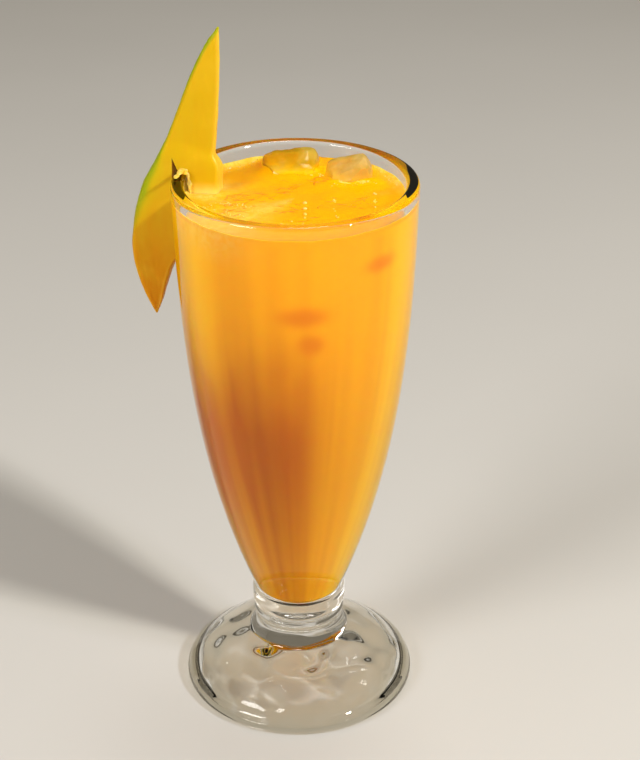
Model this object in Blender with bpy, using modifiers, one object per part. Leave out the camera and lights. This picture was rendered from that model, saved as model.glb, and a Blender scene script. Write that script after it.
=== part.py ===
"""Mango juice with ice in a footed soda glass, with a wedge of mango hung on its rim.

The glass, the juice, two blocks of ice and the mango are separate solids. Sizes are in metres, +Z is up.
Every piece is shaped round the glass's own axis and hangs on one empty. That empty is then moved so that
the origin is the middle of the whole footprint, at the height of the table.
"""

import math

import bmesh
import bpy
from mathutils import Matrix, Vector, noise

NAME = "mango_juice"
SIDES = 48

# Pieces that touch keep this much between them; what lies in the juice keeps a little more.
GAP = 0.0003
WET_GAP = 0.0004

HEIGHT = 0.185
RIM_RADIUS = 0.03845
RIM_INNER_RADIUS = 0.0343
LIP_ROUND = 0.0013

# The bowl's outside draws in from the rim down to the collar: by its lean, its belly and its taper.
COLLAR_TOP = 0.0388
BOWL_LEAN = 0.0020
BOWL_BELLY = 0.0074
BOWL_TAPER = 0.0136

# The bowl's inside is a straight cone up to a height, and from there curves until it is upright at the rim.
CAVITY_BOTTOM = 0.031
CAVITY_ROUND = 0.006
CONE_TOP = 0.092
CONE_SLOPE = 0.268

COLLAR_BOTTOM = 0.0280
COLLAR_RADIUS = 0.0158
COLLAR_EDGE_RADIUS = 0.0152
NECK_RADIUS = 0.0147

FOOT_RADIUS = 0.0395
FOOT_EDGE_ROUND = 0.0023
FOOT_EDGE_HEIGHT = 0.0054
FOOT_REST_WIDTH = 0.0028
DOME_TOP = 0.0195
HOLLOW_HEIGHT = 0.0125

JUICE_LEVEL = 0.179
ICE_TO_WALL = 0.0011
ICE_SQUARENESS = 7
ICE_DENTS = 0.10

# The mango's wedge lies in one upright plane through the glass's axis, from its top tip to its bottom tip.
# Each row is a place along the line between the tips, how far the skin and the pit side stand off that
# line, and how thick the wedge is there, all in millimetres, and its pit side's share of that thickness.
MANGO_DIRECTION = math.radians(164)
MANGO_TOP = (0.0236, 0.2313)
MANGO_BOTTOM = (0.0475, 0.1340)
MANGO_ROWS = [
    (0.0, 0.3, 0.2, 0.9, 0.6),
    (8.0, 3.3, 2.1, 3.0, 0.3),
    (19.0, 5.6, 4.3, 5.0, 0.28),
    (30.0, 7.1, 6.1, 6.6, 0.28),
    (38.0, 8.3, 7.2, 7.8, 0.32),
    (39.8, 8.6, 7.5, 8.4, 0.4),
    (41.4, 9.0, 9.1, 8.9, 0.52),
    (43.5, 9.5, 10.4, 9.6, 0.58),
    (48.5, 10.8, 11.4, 10.5, 0.62),
    (55.0, 12.6, 12.3, 11.2, 0.62),
    (63.5, 13.3, 11.0, 11.2, 0.6),
    (72.0, 12.9, 6.6, 11.0, 0.55),
    (80.0, 11.4, 2.4, 10.2, 0.5),
    (88.0, 8.1, 1.3, 8.0, 0.5),
    (95.5, 3.9, 0.9, 4.6, 0.5),
    (100.2, 0.3, 0.2, 0.9, 0.6),
]
SKIN_ROUND = 0.0017
SLIT_CLEARANCE = 0.00045
SLIT_BOTTOM = 0.120
SLIT_TOP = 0.190


def clear_scene():
    for old in list(bpy.data.objects):
        bpy.data.objects.remove(old, do_unlink=True)


def new_collection(name):
    made = bpy.data.collections.new(name)
    bpy.context.scene.collection.children.link(made)
    return made


def material(name, colour, roughness, transmission=0.0, ior=1.45):
    made = bpy.data.materials.new(name)
    made.use_nodes = True
    shader = made.node_tree.nodes["Principled BSDF"]
    shader.inputs["Base Color"].default_value = (*colour, 1.0)
    shader.inputs["Roughness"].default_value = roughness
    shader.inputs["Metallic"].default_value = 0.0
    shader.inputs["Transmission Weight"].default_value = transmission
    shader.inputs["IOR"].default_value = ior
    made.diffuse_color = (*colour, 1.0)
    return made


def spread(low, high, count):
    return [low + (high - low) * i / (count - 1) for i in range(count)]


def arc(centre, radius, start, end, count):
    """Points on a circle round centre, between two angles in degrees."""
    turns = [math.radians(a) for a in spread(start, end, count)]
    return [(centre[0] + radius * math.cos(a), centre[1] + radius * math.sin(a)) for a in turns]


def bowl_outside(z):
    """The bowl's outer radius: the rim's, less a cubic of how far down from the rim the height is."""
    s = (HEIGHT - z) / (HEIGHT - COLLAR_TOP)
    return RIM_RADIUS - (BOWL_LEAN * s + BOWL_BELLY * s**2 + BOWL_TAPER * s**3)


def bowl_inside(z):
    """The cavity's radius: a cone, then a parabola that ends upright at the rim, and a round bottom."""
    run = HEIGHT - CONE_TOP
    at_cone_top = RIM_INNER_RADIUS - CONE_SLOPE * run / 2
    if z < CONE_TOP:
        radius = at_cone_top - CONE_SLOPE * (CONE_TOP - z)
    else:
        up = z - CONE_TOP
        radius = at_cone_top + CONE_SLOPE * (up - up**2 / (2 * run))
    drop = CAVITY_BOTTOM + CAVITY_ROUND - z
    if drop > 0:
        radius *= math.sqrt(max(0.0, 1 - (drop / CAVITY_ROUND) ** 2))
    return radius


def cavity_heights(top):
    """Heights up the cavity, close together in its round bottom."""
    turns = [math.radians(a) for a in spread(0, 90, 5)]
    bottom = [CAVITY_BOTTOM + CAVITY_ROUND * (1 - math.cos(a)) for a in turns]
    return bottom + spread(bottom[-1], top, 13)[1:]


def foot_outside(count):
    """The foot from its neck down: a hollow sweep into a low dome, then a thick round edge."""
    neck = [(NECK_RADIUS, COLLAR_BOTTOM - 0.0012), (NECK_RADIUS + 0.0003, COLLAR_BOTTOM - 0.0035)]
    inner = NECK_RADIUS + 0.0022
    outer = FOOT_RADIUS - 0.0013
    dome = []
    for t in spread(0, 1, count):
        height = FOOT_EDGE_HEIGHT + (DOME_TOP - FOOT_EDGE_HEIGHT) * (1 - t**1.25)
        dome.append((inner + (outer - inner) * t, height))
    edge = arc((FOOT_RADIUS - FOOT_EDGE_ROUND, FOOT_EDGE_ROUND), FOOT_EDGE_ROUND, 40, -90, 7)
    return neck + dome + edge


def foot_hollow(count):
    """The underside from its resting ring in to the axis: a shallow dome."""
    rest_inner = FOOT_RADIUS - FOOT_EDGE_ROUND - FOOT_REST_WIDTH
    turns = [math.radians(a) for a in spread(0, 90, count)]
    return [(rest_inner * math.cos(a), HOLLOW_HEIGHT * math.sin(a)) for a in turns]


def turned(name, profile, group):
    """A Screw modifier round +Z of a profile of (radius, height) points."""
    mesh = bpy.data.meshes.new(name)
    points = [(x, 0.0, z) for x, z in profile]
    mesh.from_pydata(points, [(i, i + 1) for i in range(len(points) - 1)], [])
    body = bpy.data.objects.new(name, mesh)
    group.objects.link(body)
    screw = body.modifiers.new("Turn", "SCREW")
    screw.axis = "Z"
    screw.steps = SIDES
    screw.render_steps = SIDES
    screw.use_merge_vertices = True
    screw.merge_threshold = 0.00001
    screw.use_smooth_shade = True
    return body


def make_glass(group):
    lip_outer = arc((RIM_RADIUS - LIP_ROUND, HEIGHT - LIP_ROUND), LIP_ROUND, 90, 0, 4)
    lip_inner = arc((RIM_INNER_RADIUS + LIP_ROUND, HEIGHT - LIP_ROUND), LIP_ROUND, 180, 90, 4)
    wall = [(bowl_outside(z), z) for z in spread(HEIGHT - 3 * LIP_ROUND, COLLAR_TOP, 16)]
    collar = [
        (COLLAR_EDGE_RADIUS + 0.0002, COLLAR_TOP - 0.0010),
        (COLLAR_RADIUS, COLLAR_TOP - 0.0030),
        (COLLAR_RADIUS, COLLAR_BOTTOM + 0.0032),
        (COLLAR_EDGE_RADIUS, COLLAR_BOTTOM + 0.0004),
    ]
    inside = [(bowl_inside(z), z) for z in cavity_heights(HEIGHT - 3 * LIP_ROUND)]
    outer_side = lip_outer + wall + collar + foot_outside(7) + foot_hollow(6)
    body = turned("glass", inside + lip_inner + outer_side, group)
    body.data.materials.append(material("glass", (0.93, 0.96, 0.94), 0.02, 1.0, 1.5))
    return body


def make_juice(group):
    """Everything inside the glass up to the level, a gap clear of its wall."""
    heights = cavity_heights(JUICE_LEVEL)
    wall = []
    for z in reversed(heights[1:]):
        wall.append((bowl_inside(z) - GAP, z))
    wall[-1] = (wall[-1][0], wall[-1][1] + GAP)
    top = [(0.0, JUICE_LEVEL)]
    bottom = [(0.0, heights[0] + GAP)]
    body = turned("juice", top + wall + bottom, group)
    body.data.materials.append(material("juice", (0.95, 0.46, 0.02), 0.12, 0.0, 1.35))
    return body


def grow(mesh_edit, amount):
    """Moves every point out along its normal."""
    mesh_edit.normal_update()
    for point in mesh_edit.verts:
        point.co += point.normal * amount


def object_from(name, mesh_edit, group, colour_material=None):
    bmesh.ops.recalc_face_normals(mesh_edit, faces=mesh_edit.faces)
    mesh = bpy.data.meshes.new(name)
    mesh_edit.to_mesh(mesh)
    mesh_edit.free()
    made = bpy.data.objects.new(name, mesh)
    group.objects.link(made)
    if colour_material is not None:
        mesh.materials.append(colour_material)
        mesh.shade_smooth()
    return made


def ice_block(size, centre, turn, tip, seed):
    """A cube with melted corners and a few soft dents, turned, tipped and kept off the glass's wall."""
    edit = bmesh.new()
    bmesh.ops.create_cube(edit, size=2.0)
    bmesh.ops.subdivide_edges(edit, edges=edit.edges, cuts=5, use_grid_fill=True)
    half = Vector(size) / 2
    place = Matrix.Rotation(turn, 3, "Z") @ Matrix.Rotation(tip[0], 3, "X") @ Matrix.Rotation(tip[1], 3, "Y")
    for point in edit.verts:
        at = point.co
        rounding = sum(abs(c) ** ICE_SQUARENESS for c in at) ** (1 / ICE_SQUARENESS)
        dent = noise.noise(at * 0.9 + Vector((seed, 0.0, 0.0)))
        at = at * ((1 + ICE_DENTS * dent) / rounding)
        at = place @ Vector((at.x * half.x, at.y * half.y, at.z * half.z)) + Vector(centre)
        reach = math.hypot(at.x, at.y)
        room = bowl_inside(at.z) - ICE_TO_WALL
        if reach > room:
            at.x *= room / reach
            at.y *= room / reach
        point.co = at
    return edit


ICE = {
    "ice_back": dict(
        size=(0.0184, 0.0135, 0.0160),
        centre=(-0.0006, 0.0262, 0.1757),
        turn=math.radians(-4),
        tip=(math.radians(24), math.radians(-7)),
        seed=3.0,
    ),
    "ice_right": dict(
        size=(0.0150, 0.0138, 0.0165),
        centre=(0.0184, 0.0182, 0.1762),
        turn=math.radians(-3),
        tip=(math.radians(14), math.radians(-18)),
        seed=11.0,
    ),
}


def make_ice(group, cutters):
    ice = material("ice", (0.90, 0.86, 0.72), 0.06, 0.9, 1.31)
    blocks, moulds = [], []
    for name, shape in ICE.items():
        blocks.append(object_from(name, ice_block(**shape), group, ice))
        mould = ice_block(**shape)
        bmesh.ops.recalc_face_normals(mould, faces=mould.faces)
        grow(mould, WET_GAP)
        moulds.append(object_from("mould_" + name, mould, cutters))
    return blocks, moulds


def slope_at(rows, i, column):
    """The curve's slope through a row, from its two neighbours."""
    before, after = rows[max(i - 1, 0)], rows[min(i + 1, len(rows) - 1)]
    return (after[column] - before[column]) / (after[0] - before[0])


def between_rows(rows, x, column):
    """A smooth curve through one column of the rows, at x: a cubic from each row to the next."""
    i = max(k for k in range(len(rows) - 1) if rows[k][0] <= x)
    step = rows[i + 1][0] - rows[i][0]
    t = (x - rows[i][0]) / step
    start = rows[i][column] * (1 + 2 * t) * (1 - t) ** 2 + slope_at(rows, i, column) * step * t * (1 - t) ** 2
    end = rows[i + 1][column] * t**2 * (3 - 2 * t) + slope_at(rows, i + 1, column) * step * t**2 * (t - 1)
    return start + end


def mango_section(x, extra):
    """One cut across the wedge: front face, rounded skin, back face and pit side, as (out, across)."""
    skin, pit, thickness = (between_rows(MANGO_ROWS, x, column) / 1000 for column in (1, 2, 3))
    at_skin = thickness / 2 + extra
    at_pit = between_rows(MANGO_ROWS, x, 4) * thickness / 2 + extra
    outer = skin + extra
    inner = -pit - extra
    rounding = min(SKIN_ROUND, 0.5 * (outer - inner))
    section = [(inner + 0.0002, at_pit)]
    section += [(inner + (outer - rounding - inner) * u, at_pit + (at_skin - at_pit) * u) for u in (0.33, 0.67)]
    for a in spread(90, -90, 7):
        turn = math.radians(a)
        section.append((outer - rounding + rounding * math.cos(turn), at_skin * math.sin(turn)))
    section += [(inner + (outer - rounding - inner) * u, -at_pit - (at_skin - at_pit) * u) for u in (0.67, 0.33)]
    section += [(inner + 0.0002, -at_pit), (inner, -0.7 * at_pit), (inner, 0.7 * at_pit)]
    return section


def mango_wedge(extra=0.0):
    """A loft of those cuts from the top tip to the bottom tip."""
    top = Vector((MANGO_TOP[0], 0.0, MANGO_TOP[1]))
    bottom = Vector((MANGO_BOTTOM[0], 0.0, MANGO_BOTTOM[1]))
    along = (bottom - top).normalized()
    out = Vector((-along.z, 0.0, along.x))
    across = Vector((0.0, -1.0, 0.0))
    swing = Matrix.Rotation(MANGO_DIRECTION - math.pi, 3, "Z")
    edit = bmesh.new()
    rings = []
    length = MANGO_ROWS[-1][0]
    for x in [length * (0.5 - 0.5 * math.cos(a)) for a in spread(0, math.pi, 29)]:
        ring = []
        for far, side in mango_section(min(x, length), extra):
            at = top + along * x / 1000 + out * far + across * side
            at = Vector((-at.x, at.y, at.z))
            ring.append(edit.verts.new(swing @ at))
        rings.append(ring)
    for low, high in zip(rings, rings[1:]):
        for i in range(len(low)):
            j = (i + 1) % len(low)
            edit.faces.new((low[i], low[j], high[j], high[i]))
    edit.faces.new(rings[0])
    edit.faces.new(list(reversed(rings[-1])))
    return edit


def slit_profile():
    """The room the glass's wall needs in the mango, narrowing above the rim to where the knife stopped."""
    clear = SLIT_CLEARANCE
    heights = spread(SLIT_BOTTOM, HEIGHT, 8)
    outer = [(bowl_outside(z) + clear, z) for z in reversed(heights)]
    inner = [(bowl_inside(z) - clear, z) for z in heights]
    over = [(RIM_INNER_RADIUS - clear, HEIGHT + clear), (RIM_RADIUS - 0.0017, HEIGHT + clear)]
    peak = [(RIM_RADIUS + 0.0003, SLIT_TOP)]
    ring = outer + inner + over + peak
    return ring + ring[:1]


def boolean(body, cutter, operation="DIFFERENCE"):
    cut = body.modifiers.new("Cut " + cutter.name, "BOOLEAN")
    cut.operation = operation
    cut.solver = "EXACT"
    cut.object = cutter


def make_mango(group, cutters):
    flesh = material("mango", (0.98, 0.72, 0.05), 0.35)
    slice_body = object_from("mango_slice", mango_wedge(), group, flesh)
    slit = turned("slit", slit_profile(), cutters)
    boolean(slice_body, slit)
    mould = object_from("mould_mango", mango_wedge(WET_GAP), cutters)
    return slice_body, mould


def stand_on_origin(group, axis):
    """Moves the glass's axis so that the middle of the whole footprint comes to the origin."""
    bpy.context.view_layer.update()
    depsgraph = bpy.context.evaluated_depsgraph_get()
    corners = []
    for body in group.objects:
        if body.type == "MESH":
            mesh = body.evaluated_get(depsgraph).to_mesh()
            corners += [body.matrix_world @ point.co for point in mesh.vertices]
    low = [min(c[i] for c in corners) for i in range(3)]
    high = [max(c[i] for c in corners) for i in range(3)]
    axis.location = (-(low[0] + high[0]) / 2, -(low[1] + high[1]) / 2, -low[2])
    bpy.context.view_layer.update()


def main():
    clear_scene()
    group = new_collection(NAME)
    cutters = new_collection("cutters")
    glass = make_glass(group)
    juice = make_juice(group)
    ice, moulds = make_ice(group, cutters)
    mango, mango_mould = make_mango(group, cutters)
    for mould in [*moulds, mango_mould]:
        boolean(juice, mould)
    for cutter in cutters.objects:
        cutter.hide_render = True
        cutter.display_type = "WIRE"
    axis = bpy.data.objects.new("glass_axis", None)
    group.objects.link(axis)
    for body in [glass, juice, mango, *ice, *cutters.objects]:
        body.parent = axis
    stand_on_origin(group, axis)


main()
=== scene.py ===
"""Dresses the mango juice: a pressed soda glass, its drink and ice, and the wedge of mango on the rim."""

import math

import bpy
import numpy as np
from mathutils import Matrix, Vector


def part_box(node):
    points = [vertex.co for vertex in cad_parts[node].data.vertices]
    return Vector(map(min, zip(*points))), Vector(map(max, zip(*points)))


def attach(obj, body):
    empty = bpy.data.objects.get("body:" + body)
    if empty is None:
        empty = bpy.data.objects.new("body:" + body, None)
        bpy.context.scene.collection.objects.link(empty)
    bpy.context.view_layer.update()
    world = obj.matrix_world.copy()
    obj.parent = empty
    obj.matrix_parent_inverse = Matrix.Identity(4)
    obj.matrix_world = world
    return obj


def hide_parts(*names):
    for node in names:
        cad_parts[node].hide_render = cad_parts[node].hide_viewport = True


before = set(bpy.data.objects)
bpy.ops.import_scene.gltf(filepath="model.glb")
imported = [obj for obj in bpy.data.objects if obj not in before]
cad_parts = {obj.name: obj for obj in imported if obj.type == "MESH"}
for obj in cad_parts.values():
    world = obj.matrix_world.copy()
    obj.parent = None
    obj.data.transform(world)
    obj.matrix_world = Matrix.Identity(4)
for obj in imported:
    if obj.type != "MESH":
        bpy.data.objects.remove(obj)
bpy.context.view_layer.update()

# The glass: soda glass pressed in one piece in an iron mould, fire-polished at the lip. A thick bowl
# stands on a short collar and a domed foot, which is hollow beneath and rests on its rim.
HEIGHT = 0.185
RIM_RADIUS = 0.03845
RIM_INNER_RADIUS = 0.0343
LIP_ROUND = 0.0013
COLLAR_TOP = 0.0388
COLLAR_BOTTOM = 0.0280
COLLAR_RADIUS = 0.0158
NECK_RADIUS = 0.0147
FOOT_RADIUS = 0.0395
FOOT_EDGE_ROUND = 0.0023
FOOT_EDGE_HEIGHT = 0.0054
FOOT_REST_WIDTH = 0.0028
DOME_TOP = 0.0195
HOLLOW_HEIGHT = 0.0125
CAVITY_BOTTOM = 0.031
CAVITY_ROUND = 0.006
CONE_TOP = 0.092
CONE_SLOPE = 0.268
BOWL_TAPER = (0.0020, 0.0074, 0.0136)
RIPPLE_DEPTH = 0.0003
RIPPLE_LENGTH = 0.012
ROUND_COLUMNS = 256
low_corner, high_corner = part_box("glass")
AXIS = np.array([(low_corner.x + high_corner.x) / 2, (low_corner.y + high_corner.y) / 2, 0.0])


def bowl_outside(z):
    """The bowl's outer radius: the rim's, less a cubic of how far down from the rim the height is."""
    s = (HEIGHT - z) / (HEIGHT - COLLAR_TOP)
    first, second, third = BOWL_TAPER
    return RIM_RADIUS - (first * s + second * s**2 + third * s**3)


def bowl_inside(z):
    """The cavity's radius: a cone, then a parabola that ends upright at the rim, and a round bottom."""
    run = HEIGHT - CONE_TOP
    at_cone_top = RIM_INNER_RADIUS - CONE_SLOPE * run / 2
    up = np.maximum(z - CONE_TOP, 0)
    down = np.maximum(CONE_TOP - z, 0)
    radius = at_cone_top - CONE_SLOPE * down + CONE_SLOPE * (up - up**2 / (2 * run))
    drop = np.clip((CAVITY_BOTTOM + CAVITY_ROUND - z) / CAVITY_ROUND, 0, 1)
    return radius * np.sqrt(1 - drop**2)


def cavity_heights(top, count):
    """Heights up the cavity: a quarter turn's worth in its round bottom, then even steps."""
    turn = np.linspace(0, math.pi / 2, 16)
    bottom = CAVITY_BOTTOM + CAVITY_ROUND * (1 - np.cos(turn))
    return np.concatenate([bottom, np.linspace(bottom[-1], top, count)[1:]])


def arc(centre, radius, start, end, count):
    """Points (r, z) on a circle round centre, between two angles in degrees."""
    turn = np.radians(np.linspace(start, end, count))
    return np.stack([centre[0] + radius * np.cos(turn), centre[1] + radius * np.sin(turn)], -1)


def rounded(points, count, reach):
    """A polyline drawn as evenly spaced points whose corners are averaged over a reach."""
    step = np.linalg.norm(np.diff(points, axis=0), axis=1)
    at = np.concatenate([[0], np.cumsum(step)])
    fine = np.linspace(0, at[-1], 40 * count)
    line = np.stack([np.interp(fine, at, points[:, k]) for k in (0, 1)], -1)
    width = max(int(reach / (at[-1] / len(fine))), 1)
    padded = np.concatenate([np.repeat(line[:1], width, 0), line, np.repeat(line[-1:], width, 0)])
    total = np.cumsum(np.concatenate([np.zeros((1, 2)), padded]), axis=0)
    smooth = (total[2 * width + 1 :] - total[: -2 * width - 1]) / (2 * width + 1)
    return np.stack([np.interp(np.linspace(0, at[-1], count), fine, smooth[:, k]) for k in (0, 1)], -1)


def waves(points, length, seed, count=28):
    """Smooth noise from about -1 to 1: a sum of plane waves of about one length, in seeded directions."""
    chance = np.random.default_rng(seed)
    total = np.zeros(points.shape[:-1])
    for _ in range(count):
        way = chance.normal(size=3)
        way *= 2 * math.pi / (length * np.linalg.norm(way)) * chance.uniform(0.6, 1.5)
        total += np.sin(points @ way + chance.uniform(0, 2 * math.pi))
    return total * (1.4 / math.sqrt(count))


def piece(name, grids, material):
    """One mesh over grids of points (rows, columns, 3): quads between neighbours, the last column joined to
    the first, the last row to a first that it equals, a row whose points coincide closed as a pole, and
    faces turned outwards."""
    corners, quads, triangles, start = [], [], [], 0
    for grid in grids:
        rows, columns = grid.shape[:2]
        ids = np.arange(rows * columns).reshape(rows, columns)
        for row in (0, -1):
            if np.ptp(grid[row], axis=0).max() < 1e-9:
                ids[row] = ids[row, 0]
        if np.abs(grid[0] - grid[-1]).max() < 1e-9:
            ids[-1] = ids[0]
        right = np.roll(ids, -1, 1)
        faces = np.stack([ids[:-1], right[:-1], right[1:], ids[1:]], -1).reshape(-1, 4)
        flat = grid.reshape(-1, 3)
        a, b, c, d = (flat[faces[:, k]] - flat.mean(0) for k in range(4))
        if np.einsum("ij,ij->", a, np.cross(b, c) + np.cross(c, d)) < 0:
            faces = faces[:, ::-1]
        used, again = np.unique(faces, return_inverse=True)
        faces = again.reshape(faces.shape) + start
        corners.append(flat[used])
        start += len(used)
        same = faces == np.roll(faces, -1, 1)
        quads.append(faces[~same.any(1)])
        triangles.append(faces[same.any(1)][~same[same.any(1)]].reshape(-1, 3))
    mesh = bpy.data.meshes.new(name)
    faces = np.concatenate(quads).tolist() + np.concatenate(triangles).tolist()
    mesh.from_pydata(np.concatenate(corners).tolist(), [], faces)
    mesh.shade_smooth()
    mesh.materials.append(material)
    made = bpy.data.objects.new(name, mesh)
    bpy.context.scene.collection.objects.link(made)
    return made


def turned(profile, columns):
    """A profile of (r, z) turned round the glass's axis: point(i, j) = (r_i cos t_j, r_i sin t_j, z_i)."""
    turn = np.linspace(0, 2 * math.pi, columns, endpoint=False)
    ring = np.stack([np.cos(turn), np.sin(turn), np.zeros(columns)], -1)
    return AXIS + profile[:, None, :1] * ring + profile[:, None, 1:] * np.array([0.0, 0.0, 1.0])


def face_middles(made):
    """The middles of a piece's faces, as rows of (x, y, z)."""
    at = np.empty(len(made.data.polygons) * 3)
    made.data.polygons.foreach_get("center", at)
    return at.reshape(-1, 3)


def second_finish(made, material, chosen):
    """Puts a second material on a piece's chosen faces."""
    made.data.materials.append(material)
    made.data.polygons.foreach_set("material_index", chosen.astype(np.int32))


class Wire:
    """The output of a shader node. Python's operators on it add Math nodes, node() adds any other."""

    def __init__(self, tree, socket=None):
        self.tree = tree
        self.socket = socket

    def node(self, kind, settings, inputs, output=0):
        """A node of a kind, with its settings and then its sockets' values or wires."""
        made = self.tree.nodes.new(kind)
        for key, value in settings.items():
            setattr(made, key, value)
        for key, value in inputs.items():
            if isinstance(value, Wire):
                self.tree.links.new(value.socket, made.inputs[key])
            elif isinstance(value, tuple) and made.inputs[key].type == "RGBA":
                made.inputs[key].default_value = (*value, 1.0)
            else:
                made.inputs[key].default_value = value
        return Wire(self.tree, made.outputs[output] if made.outputs else None)

    def maths(self, operation, a, b):
        return self.node("ShaderNodeMath", {"operation": operation}, {0: a, 1: b})

    def __add__(self, other):
        return self.maths("ADD", self, other)

    def __sub__(self, other):
        return self.maths("SUBTRACT", self, other)

    def __rsub__(self, other):
        return self.maths("SUBTRACT", other, self)

    def __mul__(self, other):
        return self.maths("MULTIPLY", self, other)

    def ramp(self, low, high):
        """0 below low, 1 above high, and eased between."""
        settings = {"interpolation_type": "SMOOTHSTEP"}
        return self.node("ShaderNodeMapRange", settings, {"Value": self, "From Min": low, "From Max": high})

    def noise(self, scale, detail=2.0, roughness=0.5, stretch=(1, 1, 1)):
        """Noise at this wire's place, drawn out along an axis whose stretch is under 1."""
        place = self.node("ShaderNodeMapping", {}, {"Vector": self, "Scale": stretch})
        sockets = {"Vector": place, "Scale": scale, "Detail": detail, "Roughness": roughness}
        return self.node("ShaderNodeTexNoise", {}, sockets)

    def blend(self, first, second):
        """Colour first where this wire is 0 and second where it is 1."""
        return self.node("ShaderNodeMix", {"data_type": "RGBA"}, {0: self, 6: first, 7: second}, 2)

    def bump(self, strength, distance):
        return self.node("ShaderNodeBump", {}, {"Strength": strength, "Distance": distance, "Height": self})

    def attribute(self, name):
        return self.node("ShaderNodeAttribute", {"attribute_name": name}, {}, "Fac")

    def axis(self, number):
        """One coordinate of a place."""
        return self.node("ShaderNodeSeparateXYZ", {}, {0: self}, number)

    def shade(self, sockets):
        return self.node("ShaderNodeBsdfPrincipled", {}, sockets)

    def finish(self):
        """Puts this shader on the material's output."""
        self.node("ShaderNodeOutputMaterial", {}, {"Surface": self})


def new_material(name):
    """A material with an empty tree, and a wire of the piece's Object coordinates."""
    material = bpy.data.materials.new(name)
    material.use_nodes = True
    material.node_tree.nodes.clear()
    place = Wire(material.node_tree).node("ShaderNodeTexCoord", {}, {}, "Object")
    return material, place


def lets_light_in(shader, tint):
    """Clear for the lamps' own light, so that what stands behind the glass is lit as through a window."""
    ray = shader.node("ShaderNodeLightPath", {}, {}, "Is Shadow Ray")
    clear = shader.node("ShaderNodeBsdfTransparent", {}, {"Color": tint})
    return shader.node("ShaderNodeMixShader", {}, {0: ray, 1: shader, 2: clear})


def clear_glass(name, gloss):
    """A material's name to the material and its clear shader, faintly uneven as pressed glass is."""
    material, place = new_material(name)
    mould_waves = place.noise(55.0, 1.0, 0.4, (1, 1, 0.5))
    body = place.shade(
        {
            "Base Color": (0.975, 0.985, 0.98),
            "Roughness": 0.0,
            "IOR": 1.5,
            "Specular IOR Level": gloss,
            "Transmission Weight": 1.0,
            "Normal": mould_waves.bump(0.12, 0.0008),
        }
    )
    return material, body


bowl_finish, body = clear_glass("pressed_glass_bowl", 0.25)
lets_light_in(body, (0.90, 0.90, 0.88)).finish()
foot_finish, body = clear_glass("pressed_glass_foot", 0.5)
lets_light_in(body, (0.80, 0.77, 0.70)).finish()

lip_outer = arc((RIM_RADIUS - LIP_ROUND, HEIGHT - LIP_ROUND), LIP_ROUND, 90, 0, 10)
lip_inner = arc((RIM_INNER_RADIUS + LIP_ROUND, HEIGHT - LIP_ROUND), LIP_ROUND, 180, 90, 10)
wall_heights = np.linspace(HEIGHT - 3 * LIP_ROUND, COLLAR_TOP + 0.001, 70)
wall = np.stack([bowl_outside(wall_heights), wall_heights], -1)
collar = np.array(
    [
        (bowl_outside(COLLAR_TOP + 0.0008), COLLAR_TOP + 0.0008),
        (COLLAR_RADIUS - 0.0006, COLLAR_TOP - 0.0008),
        (COLLAR_RADIUS, COLLAR_TOP - 0.0022),
        (COLLAR_RADIUS + 0.0001, COLLAR_BOTTOM + 0.0040),
        (COLLAR_RADIUS - 0.0001, COLLAR_BOTTOM + 0.0024),
        (COLLAR_RADIUS - 0.0012, COLLAR_BOTTOM + 0.0012),
        (COLLAR_RADIUS - 0.0001, COLLAR_BOTTOM - 0.0002),
        (NECK_RADIUS, COLLAR_BOTTOM - 0.0024),
        (NECK_RADIUS + 0.0003, COLLAR_BOTTOM - 0.0040),
    ]
)
across_dome = np.linspace(0, 1, 40)
dome_inner, dome_outer = NECK_RADIUS + 0.0022, FOOT_RADIUS - 0.0013
dome_rise = (DOME_TOP - FOOT_EDGE_HEIGHT) * (1 - across_dome**1.25)
dome = np.stack([dome_inner + (dome_outer - dome_inner) * across_dome, FOOT_EDGE_HEIGHT + dome_rise], -1)
edge = arc((FOOT_RADIUS - FOOT_EDGE_ROUND, FOOT_EDGE_ROUND), FOOT_EDGE_ROUND, 40, -90, 14)
hollow_turn = np.linspace(0, math.pi / 2, 40)
rest_inner = FOOT_RADIUS - FOOT_EDGE_ROUND - FOOT_REST_WIDTH
hollow = np.stack([rest_inner * np.cos(hollow_turn), HOLLOW_HEIGHT * np.sin(hollow_turn)], -1)
inside_heights = cavity_heights(HEIGHT - 3 * LIP_ROUND, 60)
inside = np.stack([bowl_inside(inside_heights), inside_heights], -1)
below = rounded(np.concatenate([collar, dome, edge[:4]]), 90, 0.0006)
profile = np.concatenate([inside, lip_inner, lip_outer, wall, below, edge[4:], hollow])
profile[0, 0] = profile[-1, 0] = 0.0
ripple_start = len(profile) - len(hollow)
shell = turned(profile, ROUND_COLUMNS)
ripples = RIPPLE_DEPTH * waves(shell[ripple_start:], RIPPLE_LENGTH, 44)
ripples *= (np.sin(hollow_turn * 2) ** 0.5)[:, None]
shell[ripple_start:, :, 2] += np.where(hollow[:, 1:] > 0.0004, ripples, 0.0)
shell[-1] = shell[-1].mean(0)
glass = piece("glass_shell", [shell], bowl_finish)
second_finish(glass, foot_finish, face_middles(glass)[:, 2] < COLLAR_BOTTOM)
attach(glass, "root")
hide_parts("glass")

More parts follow.
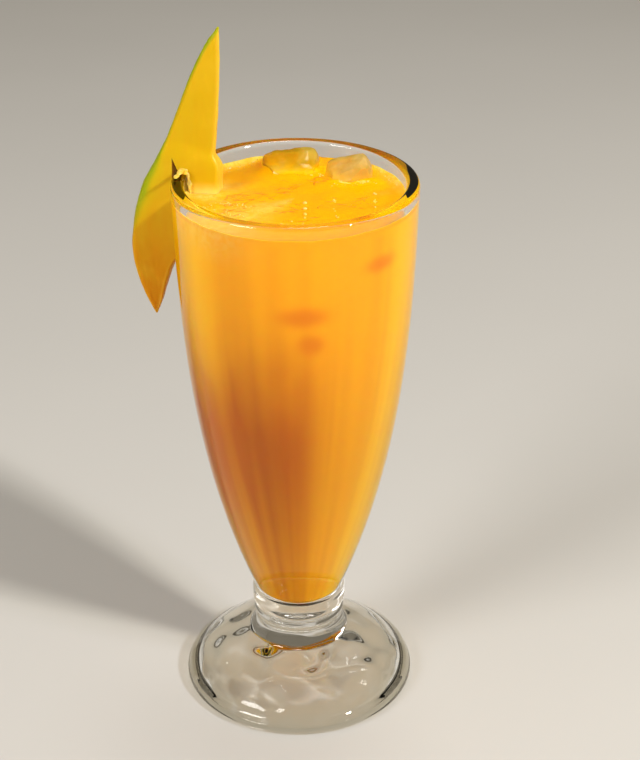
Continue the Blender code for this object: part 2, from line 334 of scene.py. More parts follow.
# The juice: thick, strained mango juice, opaque and a little pulpy. It fills the bowl to 6 mm under
# the rim and climbs slightly where it wets the wall and the ice. Each ice outline is its middle from
# the glass's axis, its half sizes and its turn in degrees.
JUICE_LEVEL = 0.179
INTO_WALL = 0.0003
WALL_CLIMB, WALL_CLIMB_REACH = 0.0009, 0.0011
ICE_CLIMB, ICE_CLIMB_REACH = 0.0017, 0.0024
FROTH_BEARINGS, FROTH_SPREAD = (124, 27), 22
FROTH_HEIGHT, FROTH_REACH = 0.0008, 0.0013
SWELL, FINE_SWELL = (0.00009, 0.012), (0.000012, 0.0030)
ICE_OUTLINES = [((-0.0006, 0.0270), (0.0092, 0.0068), -4), ((0.0187, 0.0182), (0.0076, 0.0069), -3)]


def away_from(x, y, centre, half, turn):
    """Roughly how far a place is outside a rounded block's outline, turned by an angle in degrees."""
    a = math.radians(turn)
    u = (x - centre[0]) * math.cos(a) + (y - centre[1]) * math.sin(a)
    v = (y - centre[1]) * math.cos(a) - (x - centre[0]) * math.sin(a)
    size = (np.abs(u / half[0]) ** 4 + np.abs(v / half[1]) ** 4) ** 0.25
    return np.maximum(size - 1, 0) * min(half)


def froth_line(x, y):
    """How much froth clings to the wall at a place: two stretches of it, at the back left and back right."""
    bearing = np.degrees(np.arctan2(y, x))
    to_wall = np.maximum(bowl_inside(JUICE_LEVEL) - np.hypot(x, y), 0)
    stretches = sum(np.exp(-(((bearing - middle) / FROTH_SPREAD) ** 4)) for middle in FROTH_BEARINGS)
    return stretches * np.exp(-to_wall / FROTH_REACH)


def juice_top(x, y):
    """The surface's height: its level, a rise that dies away from each thing it wets, and faint ripples."""
    to_wall = np.maximum(bowl_inside(JUICE_LEVEL) - np.hypot(x, y), 0)
    rise = WALL_CLIMB * np.exp(-to_wall / WALL_CLIMB_REACH) + FROTH_HEIGHT * froth_line(x, y)
    for outline in ICE_OUTLINES:
        rise = np.maximum(rise, ICE_CLIMB * np.exp(-away_from(x, y, *outline) / ICE_CLIMB_REACH))
    at = np.stack([x, y, 0 * x], -1)
    height = JUICE_LEVEL + rise
    for seed, (depth, length) in ((5, SWELL), (6, FINE_SWELL)):
        height = height + depth * waves(at, length, seed)
    return height


def cut_out(body, cutters):
    """Cuts other pieces out of a body for good, and removes them."""
    for cutter in cutters:
        cut = body.modifiers.new("cut", "BOOLEAN")
        cut.operation = "DIFFERENCE"
        cut.solver = "EXACT"
        cut.object = cutter
    bpy.context.view_layer.update()
    seen = body.evaluated_get(bpy.context.evaluated_depsgraph_get())
    whole, body.data = body.data, bpy.data.meshes.new_from_object(seen)
    body.modifiers.clear()
    bpy.data.meshes.remove(whole)
    for cutter in cutters:
        bpy.data.objects.remove(cutter)
    body.data.shade_smooth()
    body.data.set_sharp_from_angle(angle=math.radians(40))


def juice_material(name, gloss):
    """The drink's colours: cloudy, with fine pulp, pale where there is froth and deeper where ice is near.
    Over these go painted shade, deeper orange in the lower middle and on the left, and painted light and
    shade."""
    material, place = new_material(name)
    cloud = place.noise(34.0, 3.0, 0.55, (1, 1, 0.4))
    aside, back, height = (place.axis(number) for number in range(3))
    aside = aside - float(AXIS[0])
    reach = place.maths("SQRT", aside * aside + back * back, 0.0) + 0.0001
    across, behind = aside.maths("DIVIDE", aside, reach), back.maths("DIVIDE", back, reach)
    around = place.node("ShaderNodeCombineXYZ", {}, {0: across * 4.5, 1: behind * 4.5, 2: height * 4.0})
    # Painted light and shade: soft upright streaks, lighter and darker, on the side below the surface.
    painted_light_and_shade_streaks = (around.noise(1.0, 2.0, 0.5) - 0.5) * (1 - height.ramp(0.176, 0.179))
    # Painted shade: the colour deepens in the lower middle and towards the left, away from the key lamp,
    # less so near the bottom.
    low = 1 - (height + (cloud - 0.5) * 0.05).ramp(0.100, 0.165)
    left_side_painted_shade = (1 - across.ramp(-0.15, 0.56)) * 0.85 + 0.12
    shade_painted_deeper = low * left_side_painted_shade * (height.ramp(0.03, 0.11) * 0.55 + 0.45) + painted_light_and_shade_streaks * 0.9 + 0.04
    surface = height.ramp(JUICE_LEVEL - 0.0008, JUICE_LEVEL)
    shade_painted_deeper = shade_painted_deeper + surface * 0.08
    # Painted light: the drink is yellower at its left and right sides, below the surface.
    side_painted_light = (across * across).ramp(0.3, 0.9) * (1 - surface)
    # Painted shade blends the drink towards a deep orange, and painted light at the sides turns it yellower.
    colour = shade_painted_deeper.blend(side_painted_light.blend((0.95, 0.46, 0.0005), (0.95, 0.55, 0.0005)), (0.58, 0.165, 0.0003))
    pulp = place.noise(850.0, 2.0, 0.6).ramp(0.66, 0.80)
    colour = (pulp * 0.35).blend(colour, (0.78, 0.20, 0.0005))
    colour = (place.attribute("nearness") * (cloud * 0.6 + 0.45)).blend(colour, (0.76, 0.24, 0.0003))
    froth = (place.noise(420.0, 3.0, 0.7).ramp(0.35, 0.65) * 0.5 + 0.35) * place.attribute("froth")
    colour = froth.blend(colour, (0.96, 0.68, 0.16))
    place.shade(
        {
            "Base Color": colour,
            "Roughness": place.noise(400.0, 2.0).ramp(0.2, 0.8) * 0.10 + 0.10,
            "IOR": 1.35,
            "Specular IOR Level": gloss,
            "Subsurface Weight": 0.5,
            "Subsurface Radius": (1.0, 0.35, 0.05),
            "Subsurface Scale": 0.006,
            "Normal": place.noise(500.0, 2.0).bump(0.07, 0.0002),
        }
    ).finish()
    return material


juice_finish = juice_material("mango_juice_surface", 0.35)
juice_on_glass = juice_material("mango_juice_against_glass", 0.0)

side_heights = cavity_heights(JUICE_LEVEL, 110)
side = np.stack([bowl_inside(side_heights) + INTO_WALL, side_heights], -1)
side[0] = (0.0, side[0, 1] - INTO_WALL)
juice_side = turned(side, ROUND_COLUMNS)
shares = 1 - np.concatenate([np.linspace(0, 0.12, 30), np.linspace(0.12, 1, 75)[1:]])
top = (juice_side[-1] - AXIS) * shares[:, None, None]
top[..., 2] = juice_top(top[..., 0], top[..., 1])
top[-1] = top[-1].mean(0)
juice_side[-1] = top[0] + AXIS
juice = piece("juice_body", [np.concatenate([juice_side, top[1:] + AXIS])], juice_finish)


# The ice: two blocks from a tray, half melted, which break the surface and are wet with juice.
# They are cloudy in the middle and clear at the edges.
FACETS = 18
FACET_DEPTHS = (0.0006, 0.0013)
INTO_ICE = 0.0001
MOULD_LEVELS, BLOCK_LEVELS = 3, 4


def corners_of(made):
    """A piece's corners, as rows of (x, y, z)."""
    at = np.empty(len(made.data.vertices) * 3)
    made.data.vertices.foreach_get("co", at)
    return at.reshape(-1, 3)


def smooth_copy(node, name, material, grow, levels):
    """A CAD node's mesh, merged, subdivided, flattened where it melted into facets (a corner p past the
    plane n.p = d, for seeded directions n, is moved back to it), dented and moved out along its normals.
    A block and its mould melt alike, as their seed comes from the length of their names, which is equal."""
    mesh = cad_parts[node].data.copy()
    made = bpy.data.objects.new(name, mesh)
    bpy.context.scene.collection.objects.link(made)
    weld = made.modifiers.new("weld", "WELD")
    weld.merge_threshold = 0.00001
    subdivide = made.modifiers.new("smooth", "SUBSURF")
    subdivide.levels = subdivide.render_levels = levels
    bpy.context.view_layer.update()
    seen = made.evaluated_get(bpy.context.evaluated_depsgraph_get())
    made.data = bpy.data.meshes.new_from_object(seen)
    made.modifiers.clear()
    bpy.data.meshes.remove(mesh)
    at = corners_of(made)
    out = np.empty(at.size)
    made.data.vertices.foreach_get("normal", out)
    melt = np.random.default_rng(len(name) + 4)
    for _ in range(FACETS):
        way = melt.normal(size=3)
        way[2] = abs(way[2])
        way /= np.linalg.norm(way)
        past = at @ way
        past -= past.max() - melt.uniform(*FACET_DEPTHS) * (1 - 0.75 * way[2])
        at -= np.maximum(past, 0)[:, None] * way
    at += out.reshape(-1, 3) * (grow + 0.00005 * waves(at, 0.004, 21))[:, None]
    made.data.vertices.foreach_set("co", at.ravel())
    made.data.update()
    made.data.shade_smooth()
    made.data.materials.clear()
    made.data.materials.append(material)
    return made


ice_finish, place = new_material("wet_ice")
core = place.noise(130.0, 3.0, 0.5, (1, 1, 0.5))
grain = place.noise(900.0, 2.0, 0.5, (1, 1, 0.12))
wet = (core * 0.6 + grain * 0.4).bump(0.25, 0.0004)
cloud = place.axis(0).ramp(0.012, 0.020)
coated = (1 - (place.axis(2) + (core - 0.5) * 0.003).ramp(0.1796, 0.1826)) * (1 - cloud * 0.6)
frost = (core.ramp(0.40, 0.65) * 0.4 + cloud * 0.6).blend((0.49, 0.41, 0.014), (0.58, 0.42, 0.15))
clear = place.shade(
    {
        "Base Color": (1.0, 0.84, 0.30),
        "Roughness": 0.04,
        "IOR": 1.31,
        "Transmission Weight": 1.0,
        "Normal": wet,
    }
)
cloudy = place.shade(
    {
        "Base Color": coated.blend(frost, (0.95, 0.475, 0.001)),
        "Roughness": 0.12,
        "IOR": 1.35,
        "Subsurface Weight": 0.4,
        "Subsurface Radius": (1.0, 0.8, 0.3),
        "Subsurface Scale": 0.002,
        "Normal": wet,
    }
)
share = core.ramp(0.35, 0.65) * 0.25 + cloud * 0.15 + coated * 0.5 + 0.5
mixed = place.node("ShaderNodeMixShader", {}, {0: share, 1: clear, 2: cloudy})
lets_light_in(mixed, (0.98, 0.90, 0.55)).finish()
juice_moulds = []
for node in ("ice_back", "ice_right"):
    juice_moulds.append(smooth_copy(node, node + "_mould", juice_finish, -INTO_ICE, MOULD_LEVELS))
    block = smooth_copy(node, node + "_block", ice_finish, 0.0, BLOCK_LEVELS)
    block.data.set_sharp_from_angle(angle=math.radians(28))
    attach(block, "root")
    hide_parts(node)

# The mango: a lengthwise wedge cut from beside the stone, skin left on, slit from below with a knife
# and pushed down over the rim. Its inner lobe dips in the juice, its outer lobe hangs outside. Its rows
# run from tip to tip: how far along, how far out its skin and its pit side stand, its thickness, in
# millimetres, and the share of that thickness at the pit side.
MANGO_DIRECTION = math.radians(164)
MANGO_TOP = (0.0236, 0.2313)
MANGO_BOTTOM = (0.0475, 0.1340)
MANGO_ROWS = np.array(
    [
        (0.0, 0.3, 0.2, 0.9, 0.6),
        (8.0, 3.3, 2.1, 3.0, 0.3),
        (19.0, 5.6, 4.3, 5.0, 0.28),
        (30.0, 7.1, 6.1, 6.6, 0.28),
        (38.0, 8.3, 7.2, 7.8, 0.32),
        (39.8, 8.6, 7.5, 8.4, 0.4),
        (41.4, 9.0, 9.1, 8.9, 0.52),
        (43.5, 9.5, 10.4, 9.6, 0.58),
        (48.5, 10.8, 11.4, 10.5, 0.62),
        (55.0, 12.6, 12.3, 11.2, 0.62),
        (63.5, 13.3, 11.0, 11.2, 0.6),
        (72.0, 12.9, 6.6, 11.0, 0.55),
        (80.0, 11.4, 2.4, 10.2, 0.5),
        (88.0, 8.1, 1.3, 8.0, 0.5),
        (95.5, 3.9, 0.9, 4.6, 0.5),
        (100.2, 0.3, 0.2, 0.9, 0.6),
    ]
)
SKIN_ROUND = 0.0017
PIT_CORNER_ROUND = 0.0016
SLIT_CLEARANCE = 0.00045
SLIT_TOP = 0.190
PIT_BAND = 1.2
SOAKED_BAND = 0.0035
RIND_ALONG = (0, 9, 30, 40, 48, 58, 66, 74, 84, 101)
RIND_BAND = (1.6, 1.3, 1.1, 1.8, 4.5, 6.5, 5.0, 1.8, 0.9, 0.7)
FLESH_RELIEF = 0.00003


def between_rows(x, column):
    """A smooth curve through one column of the rows, at x: a cubic from each row to the next."""
    rows = MANGO_ROWS
    before = np.maximum(np.arange(len(rows)) - 1, 0)
    after = np.minimum(np.arange(len(rows)) + 1, len(rows) - 1)
    slopes = (rows[after, column] - rows[before, column]) / (rows[after, 0] - rows[before, 0])
    i = np.clip(np.searchsorted(rows[:, 0], x, "right") - 1, 0, len(rows) - 2)
    step = rows[i + 1, 0] - rows[i, 0]
    t = (x - rows[i, 0]) / step
    start = rows[i, column] * (1 + 2 * t) * (1 - t) ** 2 + slopes[i] * step * t * (1 - t) ** 2
    return start + rows[i + 1, column] * t**2 * (3 - 2 * t) + slopes[i + 1] * step * t**2 * (t - 1)


top_tip = np.array([MANGO_TOP[0], 0.0, MANGO_TOP[1]])
bottom_tip = np.array([MANGO_BOTTOM[0], 0.0, MANGO_BOTTOM[1]])
along = (bottom_tip - top_tip) / np.linalg.norm(bottom_tip - top_tip)
outward = np.array([-along[2], 0.0, along[0]])
across = np.array([0.0, -1.0, 0.0])
swing = np.array(Matrix.Rotation(MANGO_DIRECTION - math.pi, 3, "Z"))
flip = np.array([-1.0, 1.0, 1.0])


def in_mango_frame(points):
    """Places in the world as (out from the glass's axis towards the mango, across, up)."""
    return ((points - AXIS) @ swing) * flip


def from_mango_frame(points):
    """The way back from in_mango_frame."""
    return (points * flip) @ swing.T + AXIS


def give_values(made, name, values):
    """Gives each of a piece's corners a number, for its material to read."""
    layer = made.data.attributes.new(name, "FLOAT", "POINT")
    layer.data.foreach_set("value", values.astype(np.float32))


def mango_wedge(extra):
    """A closed loft. Each cut across it runs up the front face, round the skin, down the back face and over
    the pit side, as distances out from the line between the tips and across it."""
    x = MANGO_ROWS[-1, 0] * (0.5 - 0.5 * np.cos(np.linspace(0, math.pi, 190)))
    skin, pit, thick = (between_rows(x, column)[:, None] / 1000 for column in (1, 2, 3))
    at_skin, at_pit = thick / 2 + extra, between_rows(x, 4)[:, None] * thick / 2 + extra
    outer, inner = skin + extra, -pit - extra
    rounding = np.minimum(SKIN_ROUND, 0.5 * (outer - inner))
    corner = np.minimum(PIT_CORNER_ROUND, np.minimum(0.5 * at_pit, 0.3 * (outer - inner)))
    up = np.linspace(0, 1, 22)[None]
    turn = np.linspace(math.pi / 2, -math.pi / 2, 18)[None, 1:-1]
    bend = np.linspace(0, math.pi / 2, 8)[None, 1:-1]
    side = np.linspace(-1, 1, 8)[None]
    far = [inner + corner + (outer - rounding - inner - corner) * up, outer - rounding * (1 - np.cos(turn))]
    wide = [at_pit + (at_skin - at_pit) * up, at_skin * np.sin(turn)]
    far += [far[0][:, ::-1], inner + corner * (1 - np.sin(bend)), inner + 0 * side]
    wide += [-wide[0][:, ::-1], -(at_pit - corner * (1 - np.cos(bend))), (at_pit - corner) * side]
    far, wide = far + [far[3][:, ::-1]], wide + [-wide[3][:, ::-1]]
    far, wide = np.concatenate(far, 1), np.concatenate(wide, 1)
    at = top_tip + along * (x / 1000)[:, None, None] + outward * far[..., None] + across * wide[..., None]
    at[0], at[-1] = at[0].mean(0), at[-1].mean(0)
    return from_mango_frame(at)


mango_finish, place = new_material("mango_flesh_and_skin")
rind = place.attribute("rind")
length = place.attribute("lengthwise")
painted_pit_edge_light = place.attribute("pit_side_painted_highlight")
fibres = place.noise(260.0, 3.0, 0.6, (1, 1, 0.12))
mottle = place.noise(90.0, 3.0, 0.55)
# Deeper orange towards the lower tip: partly the flesh's own tone, partly painted shade on the outer lobe,
# which hangs in the glass's shadow.
flesh = (length.ramp(0.40, 1.0) * 0.9 + fibres * 0.5 - 0.2).blend((0.63, 0.42, 0.007), (0.68, 0.29, 0.001))
flesh = (mottle.ramp(0.45, 0.75) * 0.4).blend(flesh, (0.72, 0.47, 0.020))
# Painted highlight: paler flesh along the pit-side edge, where the edge of the cut face catches the light.
flesh = (painted_pit_edge_light * 0.45).blend(flesh, (0.88, 0.60, 0.10))
flesh = (place.attribute("soaked") * (mottle.ramp(0.3, 0.6) * 0.4 + 0.4)).blend(flesh, (0.95, 0.70, 0.20))
green = length.ramp(0.05, 0.35).blend((0.34, 0.42, 0.008), (0.60, 0.46, 0.004))
green = (rind + mottle * 0.3 - 0.15).ramp(0.55, 1.0).blend(green, (0.34, 0.39, 0.008))
green = length.ramp(0.58, 0.82).blend(green, (0.60, 0.28, 0.002))
colour = (rind + mottle * 0.3 - 0.15).ramp(0.0, 1.0).blend(flesh, green)
place.shade(
    {
        "Base Color": colour,
        "Roughness": fibres.ramp(0.3, 0.7) * 0.15 + 0.32,
        "IOR": 1.4,
        "Specular IOR Level": 0.3,
        "Subsurface Weight": 0.45,
        "Subsurface Radius": (1.0, 0.5, 0.08),
        "Subsurface Scale": 0.003,
        "Normal": (fibres + mottle * 0.3).bump(0.18, 0.0004),
    }
).finish()

grid = mango_wedge(0.0)
away = grid - grid.mean(1, keepdims=True)
away /= np.maximum(np.linalg.norm(away, axis=-1, keepdims=True), 1e-9)
fine_relief = waves(grid * np.array([1, 1, 0.25]), 0.0016, 32)
relief = FLESH_RELIEF * (waves(grid, 0.009, 31) + fine_relief)
relief[0] = relief[-1] = 0
mango = piece("mango_wedge", [grid + away * relief[..., None]], mango_finish)
slit_heights = np.linspace(0.120, HEIGHT, 30)
slit_outer = np.stack([bowl_outside(slit_heights) + SLIT_CLEARANCE, slit_heights], -1)[::-1]
slit_inner = np.stack([bowl_inside(slit_heights) - SLIT_CLEARANCE, slit_heights], -1)
slit_over = [
    (RIM_INNER_RADIUS - SLIT_CLEARANCE, HEIGHT + SLIT_CLEARANCE),
    (RIM_RADIUS - 0.0017, HEIGHT + SLIT_CLEARANCE),
    (RIM_RADIUS + 0.0003, SLIT_TOP),
]
slit_ring = np.concatenate([slit_outer, slit_inner, slit_over, slit_outer[:1]])
cut_out(mango, [piece("slit", [turned(slit_ring, 144)], mango_finish)])
at = in_mango_frame(corners_of(mango))
from_tip = at - top_tip
x = np.clip(from_tip @ along * 1000, 0, MANGO_ROWS[-1, 0])
far = from_tip @ outward * 1000
under_skin = between_rows(x, 1) - far
past_pit = far + between_rows(x, 2)
inner_lobe = np.hypot(at[:, 0], at[:, 1]) < bowl_inside(JUICE_LEVEL)
over_juice = np.abs(at[:, 2] - JUICE_LEVEL)
give_values(mango, "rind", np.clip(1.25 - under_skin / np.interp(x, RIND_ALONG, RIND_BAND), 0, 1))
give_values(mango, "lengthwise", x / MANGO_ROWS[-1, 0])
# This band along the pit side carries the painted highlight.
give_values(mango, "pit_side_painted_highlight", np.clip(1 - past_pit / PIT_BAND, 0, 1))
give_values(mango, "soaked", inner_lobe * np.clip(1.1 - over_juice / SOAKED_BAND, 0, 1))
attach(mango, "root")
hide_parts("mango_slice")


# The torn flesh: where the slice was pushed down over the rim, the edge of the slit tore. Two wet strips
# of flesh lie on the lip in front of it, and two more run down the inner lobe's edge into the juice.
def strip(path, width, thickness):
    """A tapering tongue: rings (w cos t, h sin t) along a path of (out, across, up) in millimetres, times
    sqrt(1 - s^5) as s runs from its middle to its ends, its outline made ragged by waves."""
    at = np.array(path)
    steps = np.linspace(0, len(at) - 1, 16)
    line = np.stack([np.interp(steps, range(len(at)), at[:, k]) for k in range(3)], -1)
    line[1:-1] = (line[:-2] + 2 * line[1:-1] + line[2:]) / 4
    ahead = np.gradient(line, axis=0)
    side = np.cross(ahead, [0.0, 0.0, 1.0])
    side /= np.linalg.norm(side, axis=-1, keepdims=True)
    over = np.cross(side, ahead / np.linalg.norm(ahead, axis=-1, keepdims=True))
    s = np.linspace(-1, 1, 16)
    taper = np.sqrt(np.maximum(1 - np.abs(s) ** 5, 0)) * (1 - 0.25 * (s + 1) / 2)
    turn = np.linspace(0, 2 * math.pi, 12, endpoint=False)
    rings = width / 2 * np.cos(turn)[:, None] * side[:, None]
    rings = rings + thickness / 2 * np.sin(turn)[:, None] * over[:, None]
    ragged = 1 + 0.22 * waves(line[:, None] + rings, 1.6, 51)[..., None]
    points = line[:, None] + taper[:, None, None] * rings * ragged
    return from_mango_frame(points / 1000)


torn_finish, place = new_material("torn_mango_flesh")
shreds = place.noise(700.0, 3.0, 0.6)
place.shade(
    {
        "Base Color": shreds.ramp(0.3, 0.7).blend((0.78, 0.48, 0.05), (0.82, 0.60, 0.19)),
        "Roughness": shreds * 0.15 + 0.15,
        "IOR": 1.4,
        "Subsurface Weight": 0.5,
        "Subsurface Radius": (1.0, 0.6, 0.15),
        "Subsurface Scale": 0.002,
        "Normal": shreds.bump(0.3, 0.0003),
    }
).finish()
strips = [
    strip([(35.4, -2.6, 187.0), (35.3, -5.4, 186.6), (35.5, -7.8, 186.0), (35.8, -9.8, 185.4)], 2.2, 0.6),
    strip([(34.8, -3.0, 186.7), (34.2, -4.9, 186.3), (33.6, -6.4, 185.7)], 2.2, 0.6),
    strip([(34.6, -3.6, 186.4), (33.6, -4.3, 184.9), (33.0, -4.4, 182.6), (32.9, -4.4, 180.4)], 1.5, 1.0),
    strip([(33.2, -4.3, 183.4), (32.9, -4.6, 181.4), (32.7, -4.5, 178.6)], 1.7, 1.1),
]
torn = piece("torn_flesh", strips, torn_finish)
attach(torn, "root")

# The drink closes round the ice and the mango, which stand in it with no gap. It is paler where froth
# gathers beside the mango and at the wall, and deeper over the ice that floats under it by the wall.
FROTH_DEPTH = 0.0012
SIDE_FROTH_DEPTH, SIDE_FROTH_BEARING, SIDE_FROTH_SPREAD = 0.011, -48, 22
MANGO_FROTH_FADE = 0.0032
DRY_BELOW = 0.010
SUNKEN = [(3.5, 0.1546, 0.0076, 0.0034), (7.5, 0.1450, 0.0038, 0.0036), (45.0, 0.1683, 0.0058, 0.0028)]
juice_moulds.append(piece("mango_mould", [mango_wedge(-INTO_ICE)], juice_finish))
cut_out(juice, juice_moulds)
at = corners_of(juice)
below = JUICE_LEVEL - at[:, 2]
around = np.degrees(np.arctan2(at[:, 0] - AXIS[0], -at[:, 1]))
out, aside, _ = in_mango_frame(at).T
to_mango = np.hypot(np.maximum(0.026 - out, 0) * 0.7, np.maximum(np.abs(aside + 0.002) - 0.005, 0))
on_top = np.clip(1 - below / FROTH_DEPTH, 0, 1)
on_side = np.exp(-(((around - SIDE_FROTH_BEARING) / SIDE_FROTH_SPREAD) ** 2))
on_side = on_side * np.clip(1 - below / SIDE_FROTH_DEPTH, 0, 1)
froth = np.maximum(on_top * np.exp(-to_mango / MANGO_FROTH_FADE), on_side * 0.7)
froth = np.maximum(froth, on_top * np.minimum(froth_line(at[:, 0] - AXIS[0], at[:, 1]) * 1.5, 1.1))
give_values(juice, "froth", froth)
nearness = np.zeros(len(at))
for degrees, height, half_wide, half_high in SUNKEN:
    sideways = np.radians(around - degrees) * bowl_inside(height) / half_wide
    apart = np.hypot(sideways, (at[:, 2] - height) / half_high)
    nearness = np.maximum(nearness, np.exp(-(apart**3)))
give_values(juice, "nearness", nearness)
middles = face_middles(juice) - AXIS
reach, heights = np.hypot(middles[:, 0], middles[:, 1]), middles[:, 2]
on_glass = (reach > bowl_inside(heights)) | (heights < JUICE_LEVEL - DRY_BELOW)
second_finish(juice, juice_on_glass, on_glass)
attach(juice, "root")
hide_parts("juice")

# The froth: fine bubbles left from shaking the drink, against the wall, round the mango and in short
# chains where the surface is still. A chain has its two ends, an amount of bubbles, how far they
# scatter, and their smallest and largest radius.
BUBBLE_CHAINS = [
    ((-0.0250, 0.0225), (-0.0120, 0.0310), 26, 0.0005, (0.00015, 0.00034)),
    ((-0.0225, 0.0215), (-0.0110, 0.0296), 14, 0.0007, (0.00012, 0.00028)),
    ((0.0250, 0.0225), (0.0325, 0.0090), 30, 0.0005, (0.00015, 0.00034)),
    ((-0.0290, -0.0060), (-0.0160, -0.0160), 45, 0.0022, (0.00012, 0.00035)),
    ((-0.0260, -0.0040), (-0.0140, -0.0060), 45, 0.0025, (0.00012, 0.00035)),
    ((0.0029, -0.0040), (0.0028, -0.0165), 7, 0.0002, (0.00035, 0.00075)),
    ((0.0116, -0.0010), (0.0127, -0.0180), 8, 0.0006, (0.00025, 0.00050)),
    ((0.0249, 0.0055), (0.0240, -0.0110), 7, 0.0005, (0.00025, 0.00055)),
    ((0.0010, 0.0185), (0.0110, 0.0170), 14, 0.0012, (0.00015, 0.00040)),
    ((0.0110, 0.0095), (0.0260, 0.0100), 16, 0.0010, (0.00015, 0.00040)),
    ((-0.0050, -0.0215), (0.0150, -0.0210), 26, 0.0020, (0.00012, 0.00035)),
]
chance = np.random.default_rng(7)


def bubble(centre, radius):
    """A bubble half sunk in the drink: a sphere of 8 columns, its poles above and below."""
    rise = np.linspace(-math.pi / 2, math.pi / 2, 7)
    turn = np.linspace(0, 2 * math.pi, 8, endpoint=False)
    flat = np.cos(rise)[:, None, None] * np.stack([np.cos(turn), np.sin(turn), 0 * turn], -1)
    return centre + radius * (flat + np.sin(rise)[:, None, None] * np.array([0.0, 0.0, 0.8]))


froth_finish, place = new_material("froth_bubbles")
film = place.noise(900.0, 2.0, 0.5)
place.shade(
    {
        "Base Color": film.ramp(0.3, 0.7).blend((0.90, 0.55, 0.07), (0.90, 0.66, 0.22)),
        "Roughness": film * 0.05 + 0.04,
        "IOR": 1.38,
        "Subsurface Weight": 0.5,
        "Subsurface Radius": (1.0, 0.6, 0.2),
        "Subsurface Scale": 0.001,
    }
).finish()
bubbles = []
for start, end, amount, scatter, (small, large) in BUBBLE_CHAINS:
    for share in chance.uniform(0, 1, amount):
        spot = np.array(start) * (1 - share) + np.array(end) * share + chance.normal(0, scatter / 2, 2)
        radius = small + (large - small) * chance.uniform(0, 1) ** 2
        spot *= min(1.0, (bowl_inside(JUICE_LEVEL) - radius - 0.0002) / np.linalg.norm(spot))
        top_there = float(juice_top(spot[:1], spot[1:])[0])
        bubbles.append(bubble(AXIS + np.array([*spot, top_there + 0.15 * radius]), radius))
foam = piece("froth", bubbles, froth_finish)
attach(foam, "root")

# The pulp: short curled shreds of mango fibre afloat on the drink, thickest beside the mango. A patch
# has its middle, an amount of shreds and how far they scatter.
PULP_REACH = 0.0315
PULP_PATCHES = [
    ((-0.0170, 0.0000), 34, 0.0060),
    ((-0.0190, -0.0100), 18, 0.0050),
    ((-0.0030, 0.0070), 14, 0.0050),
    ((0.0070, 0.0150), 12, 0.0030),
    ((0.0000, -0.0080), 26, 0.0120),
    ((0.0200, -0.0050), 12, 0.0060),
]


def shred(spot, way, length, width, curl):
    """A curled fibre: five-sided rings along p(s) = spot + length (s, curl s^2) / 2, of half width
    w sqrt(1 - s^2), lying on the drink."""
    s = np.linspace(-1, 1, 9)
    lengthwise = np.array([math.cos(way), math.sin(way)])
    sideways = np.array([-lengthwise[1], lengthwise[0]])
    line = spot + length / 2 * (s[:, None] * lengthwise + curl * (s**2 - 0.3)[:, None] * sideways)
    turn = np.linspace(0, 2 * math.pi, 5, endpoint=False)
    wide = width / 2 * np.sqrt(1 - s**2)[:, None] * np.cos(turn)
    flat = line[:, None] + wide[..., None] * sideways
    high = juice_top(flat[..., 0], flat[..., 1]) + 0.25 * width * np.sqrt(1 - s**2)[:, None] * np.sin(turn)
    return AXIS + np.concatenate([flat, high[..., None]], -1)


pulp_finish, place = new_material("mango_pulp")
place.shade(
    {
        "Base Color": place.noise(500.0, 2.0).ramp(0.3, 0.7).blend((0.80, 0.20, 0.001), (0.92, 0.36, 0.002)),
        "Roughness": place.noise(700.0, 1.0) * 0.2 + 0.2,
        "Subsurface Weight": 0.4,
        "Subsurface Radius": (1.0, 0.3, 0.05),
        "Subsurface Scale": 0.001,
    }
).finish()
shreds = []
for centre, amount, scatter in PULP_PATCHES:
    for _ in range(amount):
        spot = np.array(centre) + chance.normal(0, scatter / 2, 2)
        spot *= min(1.0, PULP_REACH / np.linalg.norm(spot))
        way, length = chance.normal(0.1, 0.5), chance.uniform(0.0015, 0.0050)
        shreds.append(shred(spot, way, length, chance.uniform(0.00018, 0.00045), chance.normal(0, 0.35)))
pulp = piece("pulp", shreds, pulp_finish)
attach(pulp, "root")

# The sunken ice: more blocks float below the surface. Three lie just under the juice by the wall, where
# its colour is deeper over them. Each has a bearing from the front, a height and half its size.
SUNKEN_BELOW = 0.0010
SUNKEN_FRONT, SUNKEN_BACK = 0.0005, 0.0060
blocks = []
for degrees, height, half_wide, half_high in SUNKEN:
    rise = np.linspace(-math.pi / 2, math.pi / 2, 41)[:, None]
    turn = np.linspace(0, 2 * math.pi, 48, endpoint=False)[None]
    ball = np.stack([np.cos(rise) * np.cos(turn), np.cos(rise) * np.sin(turn), np.sin(rise) + 0 * turn], -1)
    uneven = 1 + 0.10 * waves(ball, 1.3, 60 + int(degrees))
    high = height + half_high * ball[..., 2] * uneven
    wall = bowl_inside(high) + INTO_WALL
    bearing = math.radians(degrees) + half_wide * ball[..., 0] * uneven / wall
    out = wall - SUNKEN_BELOW + np.where(ball[..., 1] > 0, SUNKEN_FRONT, SUNKEN_BACK) * ball[..., 1]
    blocks.append(AXIS + np.stack([out * np.sin(bearing), -out * np.cos(bearing), high], -1))
sunken = piece("sunken_ice", blocks, ice_finish)
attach(sunken, "root")

# The studio: a pale sweep, a key lamp high on the right, a wide fill on the left, a faint lamp high
# behind and even light all round. The camera looks down on the glass from the front.
FLOOR_SIZE = 8.0
floor_finish, place = new_material("studio_sweep")
grain = place.noise(6.0, 2.0)
place.shade({"Base Color": grain.blend((0.54, 0.53, 0.51), (0.57, 0.56, 0.54)), "Roughness": 0.7}).finish()
half = FLOOR_SIZE / 2
corner_grid = np.array([[(-half, -half, 0.0), (half, -half, 0.0)], [(-half, half, 0.0), (half, half, 0.0)]])
floor = bpy.data.objects.new("floor", bpy.data.meshes.new("floor"))
floor.data.from_pydata(corner_grid.reshape(-1, 3).tolist(), [], [(0, 1, 3, 2)])
floor.data.materials.append(floor_finish)
bpy.context.scene.collection.objects.link(floor)


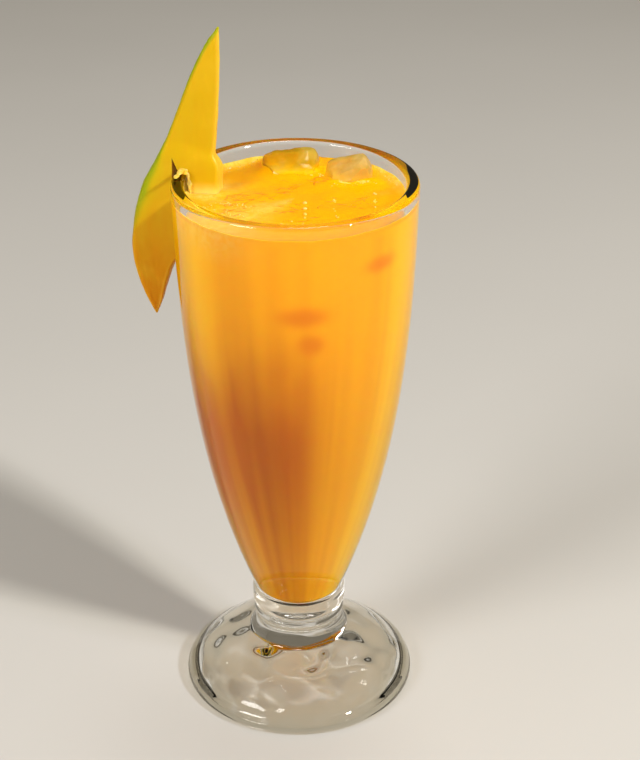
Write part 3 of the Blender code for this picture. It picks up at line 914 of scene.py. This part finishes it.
def soft_lamp(name, place, target, size, power, colour):
    """A square area lamp at a place, turned to face a target."""
    lamp = bpy.data.lights.new(name, "AREA")
    lamp.size, lamp.energy, lamp.color = size, power, colour
    made = bpy.data.objects.new(name, lamp)
    made.location = place
    made.rotation_euler = (Vector(target) - Vector(place)).to_track_quat("-Z", "Y").to_euler()
    bpy.context.scene.collection.objects.link(made)
    return made


middle = (0.0, 0.0, 0.1)
key = soft_lamp("key", (1.05, -0.75, 1.10), middle, 0.16, 22.5, (1.0, 0.97, 0.92))
fill = soft_lamp("fill", (-1.1, -0.9, 1.0), middle, 0.6, 15.5, (1.0, 0.98, 0.96))
high = soft_lamp("high", (0.1, 0.35, 1.5), middle, 0.4, 3.5, (1.0, 0.98, 0.95))
for lamp in (key, fill, high):
    lamp.data.cycles.is_caustics_light = True
floor.cycles.is_caustics_receiver = True
glass.cycles.is_caustics_caster = True
world = bpy.data.worlds.new("studio_air")
world.use_nodes = True
world.node_tree.nodes["Background"].inputs["Color"].default_value = (1.0, 0.88, 0.68, 1.0)
world.node_tree.nodes["Background"].inputs["Strength"].default_value = 0.17
bpy.context.scene.world = world
bpy.context.scene.view_settings.view_transform = "Standard"
bpy.context.scene.view_settings.look = "Medium High Contrast"

CAMERA_BACK, CAMERA_HEIGHT = 0.50498, 0.38247
PITCH, YAW, ROLL = math.radians(27.884), math.radians(0.853), math.radians(-0.074)
FOCAL_PIXELS, PICTURE_HEIGHT = 1750.0, 760.0
ahead = Vector((math.sin(YAW) * math.cos(PITCH), math.cos(YAW) * math.cos(PITCH), -math.sin(PITCH)))
level = Vector((math.cos(YAW), -math.sin(YAW), 0.0))
upright = level.cross(ahead)
right = level * math.cos(ROLL) + upright * math.sin(ROLL)
upright = upright * math.cos(ROLL) - level * math.sin(ROLL)
lens = bpy.data.cameras.new("camera")
lens.sensor_width = 36.0
lens.lens = 36.0 * FOCAL_PIXELS / PICTURE_HEIGHT
lens.clip_start, lens.clip_end = 0.01, 50.0
camera = bpy.data.objects.new("camera", lens)
bpy.context.scene.collection.objects.link(camera)
place = Vector((AXIS[0], AXIS[1] - CAMERA_BACK, CAMERA_HEIGHT))
camera.matrix_world = Matrix.Translation(place) @ Matrix((right, upright, -ahead)).transposed().to_4x4()
bpy.context.scene.camera = camera
